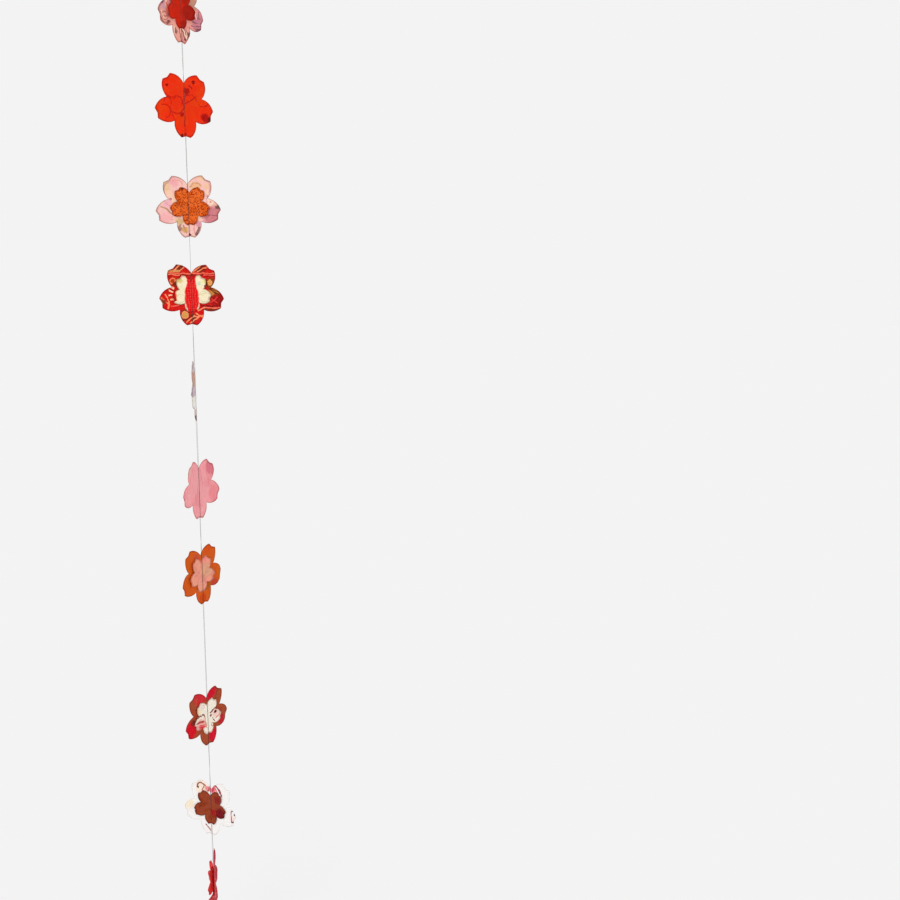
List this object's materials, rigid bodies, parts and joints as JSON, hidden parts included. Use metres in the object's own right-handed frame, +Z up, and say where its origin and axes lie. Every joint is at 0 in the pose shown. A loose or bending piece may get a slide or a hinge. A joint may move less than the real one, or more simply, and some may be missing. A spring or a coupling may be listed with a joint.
{
  "type": "paper flower garland",
  "caption": "Hanging garland of punched paper flowers, a small one sewn on the face of each large one, on one taut seam with a loop at the top.",
  "frame": {"origin": "inside the top of the hanging loop, where it bears on a hook", "axes": "+Z up along the thread, -Y towards the room"},
  "size_m": [0.0625, 0.0628, 0.9835],
  "materials": {
    "flower_01_large_sheet_paper": "matte",
    "flower_01_small_sheet_paper": "matte",
    "flower_02_large_sheet_paper": "matte",
    "flower_02_small_sheet_paper": "matte",
    "flower_03_large_sheet_paper": "matte",
    "flower_03_small_sheet_paper": "matte",
    "flower_04_large_sheet_paper": "matte",
    "flower_04_small_sheet_paper": "matte",
    "flower_05_large_sheet_paper": "matte",
    "flower_05_small_sheet_paper": "matte",
    "flower_06_large_sheet_paper": "matte",
    "flower_06_small_sheet_paper": "matte",
    "flower_07_large_sheet_paper": "matte",
    "flower_07_small_sheet_paper": "matte",
    "flower_08_large_sheet_paper": "matte",
    "flower_08_small_sheet_paper": "matte",
    "flower_09_large_sheet_paper": "matte",
    "flower_09_small_sheet_paper": "matte",
    "flower_10_large_sheet_paper": "matte",
    "flower_10_small_sheet_paper": "matte",
    "thread": "matte"
  },
  "bodies": {
    "root": {"flower_01_large_sheet": "flower_01_large_sheet_paper", "flower_01_small_sheet": "flower_01_small_sheet_paper", "flower_02_large_sheet": "flower_02_large_sheet_paper", "flower_02_small_sheet": "flower_02_small_sheet_paper", "flower_03_large_sheet": "flower_03_large_sheet_paper", "flower_03_small_sheet": "flower_03_small_sheet_paper", "flower_04_large_sheet": "flower_04_large_sheet_paper", "flower_04_small_sheet": "flower_04_small_sheet_paper", "flower_05_large_sheet": "flower_05_large_sheet_paper", "flower_05_small_sheet": "flower_05_small_sheet_paper", "flower_06_large_sheet": "flower_06_large_sheet_paper", "flower_06_small_sheet": "flower_06_small_sheet_paper", "flower_07_large_sheet": "flower_07_large_sheet_paper", "flower_07_small_sheet": "flower_07_small_sheet_paper", "flower_08_large_sheet": "flower_08_large_sheet_paper", "flower_08_small_sheet": "flower_08_small_sheet_paper", "flower_09_large_sheet": "flower_09_large_sheet_paper", "flower_09_small_sheet": "flower_09_small_sheet_paper", "flower_10_large_sheet": "flower_10_large_sheet_paper", "flower_10_small_sheet": "flower_10_small_sheet_paper", "needle_thread": "thread", "bobbin_thread": "thread", "hanging_loop": "thread", "top_knot": "thread", "bottom_knot": "thread"}
  },
  "joints": []
}
